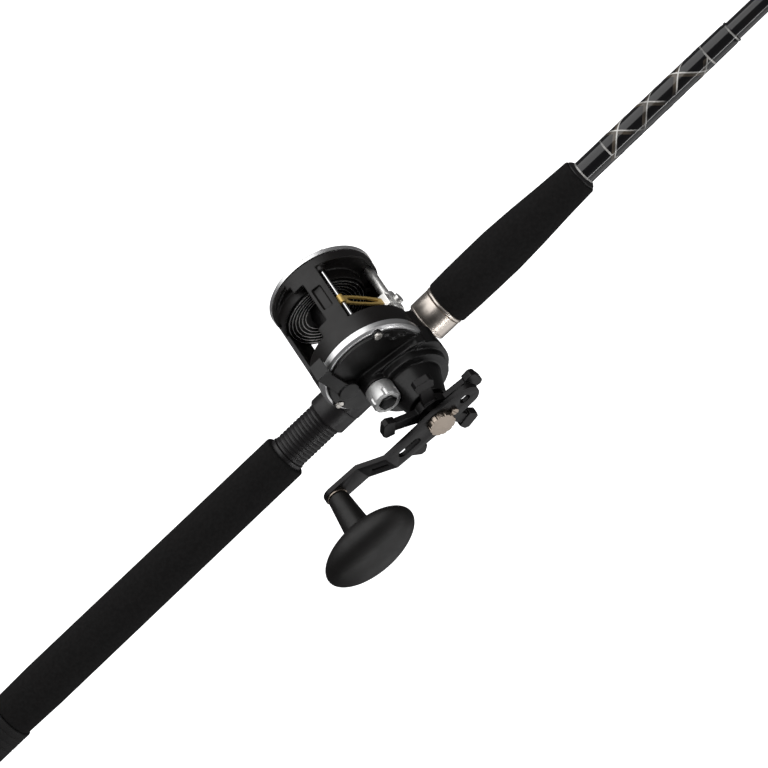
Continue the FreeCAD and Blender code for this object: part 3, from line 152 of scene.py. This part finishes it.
def moulded(node, grain, rounds, faces):
    # a copy whose edges and corners flow into each other, as plastic does in a mould
    piece = copied(node)
    applied(piece, "REMESH", mode="VOXEL", voxel_size=grain * mm, adaptivity=0)
    applied(piece, "SMOOTH", factor=0.5, iterations=rounds)
    ratio = faces / (2 * len(piece.data.polygons))
    if ratio < 1:
        applied(piece, "DECIMATE", ratio=ratio)
    return piece


# materials

def linear(hexColour):
    values = [int(hexColour[i:i + 2], 16) / 255 for i in (1, 3, 5)]
    return [v / 12.92 if v <= 0.04045 else ((v + 0.055) / 1.055) ** 2.4 for v in values] + [1.0]


def addNode(material, kind, settings=None, links=None):
    node = material.node_tree.nodes.new(kind)
    for name, value in (settings or {}).items():
        if isinstance(name, int) or name in node.inputs:
            node.inputs[name].default_value = value
        else:
            setattr(node, name, value)
    for name, source in (links or {}).items():
        material.node_tree.links.new(source, node.inputs[name])
    return node


def newMaterial(name, colour, roughness, metallic=0.0, **more):
    material = bpy.data.materials.new(name)
    material.use_nodes = True
    shader = material.node_tree.nodes["Principled BSDF"]
    shader.inputs["Base Color"].default_value = linear(colour)
    shader.inputs["Roughness"].default_value = roughness
    shader.inputs["Metallic"].default_value = metallic
    for socket, value in more.items():
        shader.inputs[socket.replace("_", " ")].default_value = value
    return material, shader


def objectPlace(material, stretch=(1, 1, 1)):
    place = addNode(material, "ShaderNodeTexCoord")
    return addNode(material, "ShaderNodeMapping", {"Scale": stretch}, {"Vector": place.outputs["Object"]})


def grainBump(material, shader, size, height, stretch=(1, 1, 1), detail=4.0, strength=1.0, before=None):
    # uneven surface whose grains are size mm across and height mm deep
    place = objectPlace(material, stretch)
    noise = addNode(material, "ShaderNodeTexNoise", {"Scale": 1 / (size * mm), "Detail": detail, "Roughness": 0.6},
                    {"Vector": place.outputs["Vector"]})
    links = {"Height": noise.outputs["Fac"]}
    if before:
        links["Normal"] = before.outputs["Normal"]
    bump = addNode(material, "ShaderNodeBump", {"Strength": strength, "Distance": height * mm}, links)
    material.node_tree.links.new(bump.outputs["Normal"], shader.inputs["Normal"])
    return bump


def mottled(material, socket, size, low, high, stretch=(1, 1, 1), detail=3.0):
    # a value or colour that drifts between low and high over patches of size mm
    place = objectPlace(material, stretch)
    noise = addNode(material, "ShaderNodeTexNoise", {"Scale": 1 / (size * mm), "Detail": detail},
                    {"Vector": place.outputs["Vector"]})
    if isinstance(low, str):
        ramp = addNode(material, "ShaderNodeValToRGB", {}, {"Fac": noise.outputs["Fac"]})
        ramp.color_ramp.elements[0].position = 0.35
        ramp.color_ramp.elements[1].position = 0.65
        ramp.color_ramp.elements[0].color = linear(low)
        ramp.color_ramp.elements[1].color = linear(high)
        material.node_tree.links.new(ramp.outputs["Color"], socket)
        return ramp
    spread = addNode(material, "ShaderNodeMapRange",
                     {"From Min": 0.3, "From Max": 0.7, "To Min": low, "To Max": high},
                     {"Value": noise.outputs["Fac"]})
    material.node_tree.links.new(spread.outputs["Result"], socket)
    return spread


def foamMaterial():
    # closed-cell EVA foam, ground to shape: dead matt, with open cells about half a millimetre across
    material, shader = newMaterial("evaFoam", "#141313", 0.93, Specular_IOR_Level=0.2)
    mottled(material, shader.inputs["Base Color"], 2.5, "#141313", "#1b1a1a", detail=6)
    place = objectPlace(material)
    cells = addNode(material, "ShaderNodeTexVoronoi", {"Scale": 1 / (0.9 * mm)}, {"Vector": place.outputs["Vector"]})
    pores = addNode(material, "ShaderNodeBump", {"Strength": 0.35, "Distance": 0.12 * mm},
                    {"Height": cells.outputs["Distance"]})
    grainBump(material, shader, 0.5, 0.12, before=pores, strength=0.6)
    return material


def mouldedMaterial(name, colour, roughness, grain=0.35, height=0.02):
    # glass-filled nylon from a sparked mould: satin, with a fine even grain
    material, shader = newMaterial(name, colour, roughness, Specular_IOR_Level=0.4)
    grainBump(material, shader, grain, height, strength=0.5)
    mottled(material, shader.inputs["Roughness"], 9.0, roughness - 0.05, roughness + 0.06)
    return material


def brushedMaterial(name, colour, roughness, stretch, height=0.006):
    # metal brushed on a belt: fine lines one way, softer reflections across them
    material, shader = newMaterial(name, colour, roughness, 1.0)
    grainBump(material, shader, 1.0, height, stretch, detail=6, strength=0.7)
    mottled(material, shader.inputs["Roughness"], 1.5, roughness - 0.06, roughness + 0.08, stretch)
    return material


def polishedMaterial(name, colour, roughness):
    # plated or polished metal: near a mirror, with faint waves from the buffing wheel
    material, shader = newMaterial(name, colour, roughness, 1.0)
    mottled(material, shader.inputs["Roughness"], 4.0, max(0.03, roughness - 0.04), roughness + 0.05)
    grainBump(material, shader, 3.0, 0.004, strength=0.4)
    return material


def anodisedMaterial(name, colour, roughness, metallic=0.85):
    # anodised aluminium: the fine bead-blasted tooth under a dyed oxide skin
    material, shader = newMaterial(name, colour, roughness, metallic)
    grainBump(material, shader, 0.18, 0.006, strength=0.5)
    mottled(material, shader.inputs["Roughness"], 6.0, roughness - 0.04, roughness + 0.05)
    return material


def lacqueredMaterial(name, colour, threadSpacing=None):
    # dark composite or whipping thread under a thick clear epoxy coat
    material, shader = newMaterial(name, colour, 0.35, Coat_Weight=1.0, Coat_Roughness=0.03, Specular_IOR_Level=0.1)
    if threadSpacing:
        place = objectPlace(material)
        lines = addNode(material, "ShaderNodeTexWave", {"wave_type": "BANDS", "bands_direction": "X",
                                                        "Scale": 1 / (threadSpacing * mm) / 20 * math.pi,
                                                        "Distortion": 0.2}, {"Vector": place.outputs["Vector"]})
        bump = addNode(material, "ShaderNodeBump", {"Strength": 0.4, "Distance": 0.05 * mm},
                       {"Height": lines.outputs["Fac"]})
        material.node_tree.links.new(bump.outputs["Normal"], shader.inputs["Normal"])
    else:
        mottled(material, shader.inputs["Base Color"], 14.0, colour, "#0d0d10")
    return material


foam = foamMaterial()
rubberCap = mouldedMaterial("buttRubber", "#151414", 0.78, 0.6, 0.03)
seatNylon = mouldedMaterial("seatNylon", "#1b191a", 0.42)
frameNylon = mouldedMaterial("frameNylon", "#120f0e", 0.44)
plateNylon = mouldedMaterial("plateNylon", "#0e0d0d", 0.36)
softTouch = mouldedMaterial("softTouchRubber", "#100e0d", 0.5, 0.3, 0.015)
hoodSteel = brushedMaterial("brushedStainless", "#d2c9c0", 0.33, (4.0, 0.05, 0.05), 0.002)
ringSteel = brushedMaterial("turnedStainless", "#f0f0f0", 0.36, (0.05, 4.0, 0.05), 0.002)
chrome = polishedMaterial("chromePlate", "#dedede", 0.14)
satinChrome = brushedMaterial("satinChrome", "#fbfbfa", 0.5, (0.5, 3.0, 0.5), 0.003)
nickel = brushedMaterial("nickelSilver", "#a89c90", 0.34, (0.5, 3.0, 0.5), 0.003)
screwNickel = brushedMaterial("screwNickel", "#e4e0da", 0.38, (0.5, 2.0, 0.5), 0.003)
brightNickel = brushedMaterial("brightNickel", "#f2f1ee", 0.42, (0.8, 0.8, 0.8), 0.003)
goldOxide = anodisedMaterial("goldAnodised", "#d9b86c", 0.42, 0.55)
blackOxide = anodisedMaterial("blackAnodised", "#121011", 0.4, 0.5)
blankCoat = lacqueredMaterial("carbonBlank", "#100e0e")
wrapCoat = lacqueredMaterial("whippingThread", "#0c0b0d", 0.3)
brass = polishedMaterial("gearBrass", "#b98d4a", 0.3)
toolSteel = brushedMaterial("groundSteel", "#9b9a98", 0.3, (0.3, 0.3, 0.3))
paleNylon = mouldedMaterial("acetalResin", "#c9c7be", 0.45)
ceramic, ceramicShader = newMaterial("ringCeramic", "#26262a", 0.14, IOR=1.77)
mottled(ceramic, ceramicShader.inputs["Roughness"], 1.0, 0.1, 0.2)
print("materials made")

# the CAD nodes that keep their shape
kept = {
    "rod_blank": blankCoat, "seat_arbors": paleNylon, "spool_shaft": toolSteel, "drive_shaft": toolSteel,
    "ratchet_wheel": toolSteel, "anti_reverse_pawl": toolSteel, "worm_shaft": toolSteel, "drag_sleeve": toolSteel,
    "spring_washers": toolSteel, "level_wind_pawl": toolSteel, "spool_bearings": toolSteel,
    "bridge_plate": toolSteel, "clutch_yoke": toolSteel, "pinion": brass, "main_gear": brass, "shaft_bushing": brass,
    "worm_drive_gear": paleNylon, "worm_gear": paleNylon, "drag_washers": paleNylon, "guide_rod": chrome,
    "level_wind_tube": brightNickel, "foot_screws": toolSteel,
}
for node, material in kept.items():
    shape = frame["nodes"][node]
    shape.data.materials.clear()
    shape.data.materials.append(material)
print("kept nodes painted")


# rod

grip = {"edge": 1.3}


def spanX(node):
    low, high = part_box(node)
    return low.x / mm, high.x / mm, high.z / mm


def makeGrips():
    start, end, _ = spanX("rear_grip")
    _, capEnd, capRadius = spanX("butt_cap")
    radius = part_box("rear_grip")[1].z / mm
    front = radius - 0.55
    rear = turned([(capEnd - 6, 9), (capEnd + 0.1, 9.5), (capEnd + 0.1, radius - 0.6), (capEnd + 30, radius),
                   (end - 60, front + 0.1), (end, front), (end, 9.5), (end - 4, 9)])
    rounded(rear, grip["edge"])
    finished(rear, "rearGrip", "rod", foam, ["rear_grip"])

    start, end, belly = spanX("foregrip")
    length = end - start
    tail, nose = belly - 0.7, belly - 3.7
    fore = turned([(start + 4, 9.5), (start, 10), (start, tail), (start + 0.12 * length, tail + 0.45),
                   (start + 0.27 * length, belly - 0.05), (start + 0.42 * length, belly - 0.05),
                   (start + 0.6 * length, belly - 1.0), (start + 0.8 * length, nose + 1.15), (end, nose),
                   (end, 9.2), (end - 4, 9)])
    rounded(fore, grip["edge"])
    finished(fore, "foreGrip", "rod", foam, ["foregrip"])


buttCap = {"grooves": 3, "grooveGap": 5.0, "grooveWidth": 1.4, "grooveDepth": 0.5}


def makeButtCap():
    start, end, radius = spanX("butt_cap")
    profile = [(start, 0.01), (start, radius - 2.2), (start + 2.2, radius)]
    for i in range(buttCap["grooves"]):
        here = end - 6 - (buttCap["grooves"] - 1 - i) * buttCap["grooveGap"]
        deep = radius - buttCap["grooveDepth"]
        profile += [(here, radius), (here + 0.3, deep), (here + buttCap["grooveWidth"] - 0.3, deep),
                    (here + buttCap["grooveWidth"], radius)]
    profile += [(end, radius), (end, radius - 2.4), (end - 3, radius - 2.5)]
    cap = turned(profile)
    rounded(cap, 0.5)
    finished(cap, "buttCap", "rod", rubberCap, ["butt_cap"])


def makeSeat():
    finished(edged("reel_seat", 0.22, 2), "seatBarrel", "rod", seatNylon, ["reel_seat"])
    finished(edged("moving_hood", 0.5), "movingHood", "moving_hood", seatNylon, ["moving_hood"])
    start, end, radius = spanX("seat_nut")
    nut = turned([(start, radius - 1.9), (start, radius - 1.2), (start + 1.2, radius - 0.1),
                  (start + 1.6, radius), (end - 0.5, radius), (end, radius - 0.4), (end, radius - 1.9),
                  (start, radius - 1.9)])
    rounded(nut, 0.25)
    finished(nut, "seatNut", "seat_nut", seatNylon, ["seat_nut"])

    start, end, radius = spanX("front_hood")
    hood = turned([(start - 0.2, radius - 1.0), (start - 0.2, radius - 0.25), (start + 0.5, radius),
                   (start + 1.4, radius), (start + 1.6, radius - 0.22), (start + 2.0, radius - 0.22),
                   (start + 2.2, radius), (end, radius), (end, radius - 1.0)])
    rounded(hood, 0.12, 2)
    finished(hood, "frontHood", "rod", hoodSteel, ["front_hood"])

    start, end, radius = spanX("seat_trim_ring")
    trim = turned([(start, radius - 3), (start, radius - 0.7), (start + 0.9, radius), (end - 0.9, radius),
                   (end, radius - 0.7), (end, radius - 3)])
    rounded(trim, 0.3)
    finished(trim, "seatTrimRing", "rod", hoodSteel, ["seat_trim_ring"])

    start, end, radius = spanX("winding_check")
    check = turned([(start - 0.3, radius - 2), (start, radius - 0.1), (start + 0.8, radius), (end, radius - 1.4),
                    (end + 0.3, radius - 2.4)])
    rounded(check, 0.2, 2)
    finished(check, "windingCheck", "rod", seatNylon, ["winding_check"])


makeGrips()
makeButtCap()
makeSeat()
print("rod handle made")


# thread wraps

wrap = {"bands": (0.9, 21.6, 104.1, 124.0), "bandWidth": 1.1, "pitch": 50.4, "silverWidth": 1.2, "bronzeWidth": 2.9,
        "raised": 0.09, "silver": "#efede8", "bronze": "#5c5348"}


def blankRadius(x):
    low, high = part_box("rod_blank")
    tipRadius = 1.2 * mm
    share = (x * mm - low.x) / (high.x - low.x)
    return (high.z + (tipRadius - high.z) * share) / mm


def helix(name, start, end, turn, hand, width, ground, raised, material):
    # a narrow ribbon of thread: one short edge screwed round the rod, then laid down on the ground under it
    turns = (end - start) / wrap["pitch"]
    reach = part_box("butt_wrap")[1].z / mm
    foot = Vector((start - width / 2, -reach * math.sin(turn), reach * math.cos(turn))) * mm
    deselectAll()
    bpy.ops.mesh.primitive_plane_add(size=mm, location=foot)
    ribbon = bpy.context.object
    bpy.ops.object.transform_apply(location=True, rotation=True, scale=True)
    bpy.ops.object.mode_set(mode="EDIT")
    bpy.ops.mesh.select_all(action="SELECT")
    bpy.ops.mesh.merge(type="CENTER")
    bpy.ops.mesh.extrude_vertices_move(TRANSFORM_OT_translate={"value": Vector((width * mm, 0, 0))})
    bpy.ops.object.mode_set(mode="OBJECT")
    steps = int(64 * turns)
    applied(ribbon, "SCREW", axis="X", angle=hand * 2 * math.pi * turns, screw_offset=(end - start) * mm,
            steps=steps, render_steps=steps, use_normal_calculate=True)
    applied(ribbon, "SHRINKWRAP", target=ground, wrap_method="NEAREST_SURFACEPOINT", wrap_mode="ABOVE_SURFACE",
            offset=raised * mm)
    applied(ribbon, "SOLIDIFY", thickness=2 * wrap["raised"] * mm, offset=0)
    pick(ribbon)
    bpy.ops.object.mode_set(mode="EDIT")
    bpy.ops.mesh.select_all(action="SELECT")
    bpy.ops.mesh.normals_make_consistent(inside=False)
    bpy.ops.object.mode_set(mode="OBJECT")
    return finished(ribbon, name, "rod", material)


def makeButtWrap():
    start, end, radius = spanX("butt_wrap")
    slope = (blankRadius(start) - blankRadius(end)) / (end - start)
    body = turned([(start, radius - 1.2), (start, radius - 0.2), (start + 1.2, radius), (end - 4, radius - slope * 119),
                   (end - 1, radius - 0.45 - slope * 122), (end, blankRadius(end) + 0.05),
                   (end, blankRadius(end) - 0.4)])
    finished(body, "buttWrap", "rod", wrapCoat, ["butt_wrap"])
    silver = lacqueredMaterial("silverThread", wrap["silver"])
    bronze = lacqueredMaterial("bronzeThread", wrap["bronze"])

    def surface(x):
        return radius - slope * (x - start) + 0.02

    places = [start + band for band in wrap["bands"]]
    for i, x in enumerate(places):
        band = turned([(x - wrap["bandWidth"] / 2, surface(x) - 0.2), (x - wrap["bandWidth"] / 2, surface(x) + 0.06),
                       (x + wrap["bandWidth"] / 2, surface(x) + 0.06), (x + wrap["bandWidth"] / 2, surface(x) - 0.2)])
        finished(band, f"wrapBand{i + 1}", "rod", silver)
    for hand in (-1, 1):
        for n in range(2):
            turn = math.pi / 2 + n * math.pi
            helix(f"silverHelix{n + 1}{'L' if hand < 0 else 'R'}", places[1], places[2], turn, hand,
                  wrap["silverWidth"], body, 0.03, silver)
            shift = (wrap["silverWidth"] + wrap["bronzeWidth"]) / 2
            helix(f"bronzeHelix{n + 1}{'L' if hand < 0 else 'R'}", places[1] - shift, places[2] - shift, turn, hand,
                  wrap["bronzeWidth"], body, 0.005, bronze)


def makeGuides():
    insert = {"width": 3.0, "wall": 1.1, "lip": 0.55}
    for name, mount in mounts.items():
        if not name.startswith("line_ring"):
            continue
        bore = mount["dims"]["r_mm"]
        centre = Vector(mount["pos_m"])
        half, wall, lip = insert["width"] / 2, insert["wall"], insert["lip"]
        ring = turned([(-half, bore + wall), (-half, bore + lip), (-half + 0.2, bore + 0.2), (-half + lip, bore),
                       (half - lip, bore), (half - 0.2, bore + 0.2), (half, bore + lip), (half, bore + wall),
                       (-half, bore + wall)], centre, steps=64)
        number = name.split("_")[-1]
        ring = finished(ring, "guideInsert" + number.capitalize(), "rod", ceramic, ["guide_rings"])
        node = "tip_top" if number == "tip" else "guide_frame_" + number
        finished(moulded(node, 0.24, 3, 30000), "guideFrame" + number.capitalize(), "rod",
                 chrome, [node])
    wraps = edged("guide_wraps", 0.7, 4, 20)
    finished(wraps, "guideWraps", "rod", wrapCoat, ["guide_wraps"])


makeButtWrap()
makeGuides()
print("threads and guides made")


# reel

def makeReelBody():
    finished(moulded("reel_frame", 0.42, 5, 90000), "reelFrame", "rod", frameNylon, ["reel_frame"])
    finished(moulded("right_side_plate", 0.42, 6, 90000), "rightSidePlate", "rod", plateNylon,
             ["right_side_plate"])
    finished(moulded("left_side_plate", 0.42, 6, 60000), "leftSidePlate", "rod", plateNylon,
             ["left_side_plate"])
    for side in ("left", "right"):
        finished(edged(side + "_side_ring", 0.25), side + "SideRing", "rod", ringSteel,
                 [side + "_side_ring"], angle=20)
    finished(edged("reel_foot", 0.5), "reelFoot", "rod", toolSteel, ["reel_foot"])
    finished(edged("plate_screws", 0.25, 2), "plateScrews", "rod", screwNickel, ["plate_screws"])
    finished(moulded("clutch_lever", 0.3, 5, 20000), "clutchLever", "clutch_lever", plateNylon,
             ["clutch_lever"])
    finished(edged("click_button", 0.4), "clickButton", "click_button", frameNylon,
             ["click_button"])


def makeTensionCap():
    finished(edged("tension_cap", 0.3), "tensionCap", "tension_cap", satinChrome, ["tension_cap"])
    centre = Vector(joints["tension_turn"]["pos_m"])
    centre.y = 0
    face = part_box("tension_cap")[0].y / mm
    insert = turned([(face + 0.3, 0.01), (face - 0.9, 0.01), (face - 0.9, 4.9), (face - 0.5, 5.7), (face + 0.3, 5.9)],
                    centre, "Y", 6)
    rounded(insert, 0.3)
    finished(insert, "tensionCapInsert", "tension_cap", plateNylon)


# raised rings on the spool's inner faces; their bright metal is a painted highlight, standing in for the glints along
# machined grooves
spoolHighlightRings = {"radii": (25.3, 23.1, 20.8, 18.5, 16.2, 13.9), "width": 0.55, "raised": 0.2, "rimDepth": 5.2,
              "rimRadius": 25.6, "dish": 0.8, "dishWidth": 15.6}


def makeSpool():
    finished(edged("spool", 0.3), "lineSpool", "spool", blackOxide, ["spool"], angle=24)
    low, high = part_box("spool")
    centre = Vector(joints["spool_spin"]["pos_m"])
    centre.y = 0
    faces = {"Left": (high.y / mm - spoolHighlightRings["rimDepth"], -1), "Right": (low.y / mm + spoolHighlightRings["rimDepth"], 1)}
    for side, (y, inward) in faces.items():
        for i, radius in enumerate(spoolHighlightRings["radii"]):
            half = spoolHighlightRings["width"] / 2
            base = y - inward * spoolHighlightRings["dish"] * (spoolHighlightRings["rimRadius"] - radius) / spoolHighlightRings["dishWidth"]
            ring = turned([(base - inward * 0.3, radius - half), (base + inward * spoolHighlightRings["raised"], radius - half),
                           (base + inward * spoolHighlightRings["raised"], radius + half), (base - inward * 0.3, radius + half),
                           (base - inward * 0.3, radius - half)], centre, "Y")
            # bright metal on these rings is a painted highlight along the grooves
            finished(ring, f"spoolHighlightRing{side}{i + 1}", "spool", brightNickel)


def makeLevelWind():
    finished(moulded("line_guide", 0.18, 4, 20000), "lineGuide", "carriage", goldOxide,
             ["line_guide"])
    finished(moulded("line_guide_carriage", 0.25, 4, 24000), "lineCarriage", "carriage",
             brightNickel, ["line_guide_carriage"])
    finished(edged("pawl_cap", 0.3), "pawlCap", "carriage", brightNickel, ["pawl_cap"])


def makeCrank():
    finished(moulded("star_drag", 0.36, 7, 60000), "starDrag", "star", blackOxide, ["star_drag"])
    finished(edged("handle_arm", 0.45), "handleArm", "crank", blackOxide, ["handle_arm"], angle=24)
    finished(edged("handle_nut", 0.35), "handleNut", "crank", nickel, ["handle_nut"])
    finished(edged("handle_lock_screw", 0.3, 2), "lockScrew", "crank", nickel, ["handle_lock_screw"])
    finished(edged("knob_post", 0.2, 2), "knobPost", "crank", nickel, ["knob_post"])
    finished(moulded("handle_knob", 0.6, 8, 60000), "handleKnob", "knob", softTouch, ["handle_knob"],
             angle=60)


makeReelBody()
makeTensionCap()
makeSpool()
makeLevelWind()
makeCrank()
print("reel made")


# stage, lights and camera

view = {"target": (0.4097, -0.1358, 0.1755), "distance": 2.2765, "azimuth": 22.39, "down": 52.61, "roll": -61.6,
        "lens": 191.57}
lamps = {
    "overheadPanel": {"from": (0.45, 0.85, 1.95), "aim": (0.45, 0.0, 0.02), "size": (3.0, 3.4), "radiance": 1.7},
    "edgeStrip": {"from": (0.5, -1.4, -0.27), "aim": (0.5, 0.0, 0.0), "size": (3.0, 0.09), "radiance": 13.0},
    "lowPanel": {"from": (0.3, -0.6, -0.65), "aim": (0.38, -0.04, 0.04), "size": (0.8, 0.9), "radiance": 0.8},
    "sidePanel": {"from": (2.1, -0.9, 0.5), "aim": (0.38, -0.04, 0.04), "size": (0.9, 1.2), "radiance": 0.9},
}


def makeStage():
    deselectAll()
    bpy.ops.mesh.primitive_plane_add(size=30, location=(0.8, 0, cadLow.z - 1.1))
    floor = bpy.context.object
    floor.name = "floor"
    paper, shader = newMaterial("whitePaper", "#f7f7f7", 0.9)
    shader.inputs["Emission Color"].default_value = linear("#ffffff")
    shader.inputs["Emission Strength"].default_value = 1.0
    floor.data.materials.append(paper)
    # the paper is far below and lights nothing but itself
    floor.visible_diffuse = False
    floor.visible_glossy = False


def makeLamps():
    for name, lamp in lamps.items():
        light = bpy.data.lights.new(name, "AREA")
        light.shape = "RECTANGLE"
        light.size, light.size_y = lamp["size"]
        light.energy = lamp["radiance"] * math.pi * light.size * light.size_y
        holder = bpy.data.objects.new(name, light)
        bpy.context.scene.collection.objects.link(holder)
        holder.location = lamp["from"]
        # the panel's long side stays level along the rod
        out = (Vector(lamp["from"]) - Vector(lamp["aim"])).normalized()
        side = Vector((1, 0, 0)) - out * out.x
        side.normalize()
        holder.rotation_euler = Matrix((side, out.cross(side), out)).transposed().to_euler()
    world = bpy.data.worlds.new("studio")
    bpy.context.scene.world = world
    world.use_nodes = True
    world.node_tree.nodes["Background"].inputs["Color"].default_value = linear("#e8e8ea")
    world.node_tree.nodes["Background"].inputs["Strength"].default_value = 0.12


def makeCamera():
    camera = bpy.data.cameras.new("camera")
    camera.lens = view["lens"]
    camera.clip_end = 50
    holder = bpy.data.objects.new("camera", camera)
    bpy.context.scene.collection.objects.link(holder)
    turn = Matrix.Rotation(math.radians(view["azimuth"]), 4, "Z")
    tilt = Matrix.Rotation(math.radians(90 - view["down"]), 4, "X")
    roll = Matrix.Rotation(math.radians(view["roll"]), 4, "Z")
    pose = turn @ tilt @ roll
    forward = pose.to_3x3() @ Vector((0, 0, -1))
    holder.matrix_world = Matrix.Translation(Vector(view["target"]) - forward * view["distance"]) @ pose
    bpy.context.scene.camera = holder


makeStage()
makeLamps()
makeCamera()
bpy.context.scene.view_settings.view_transform = "Standard"
print("stage set")
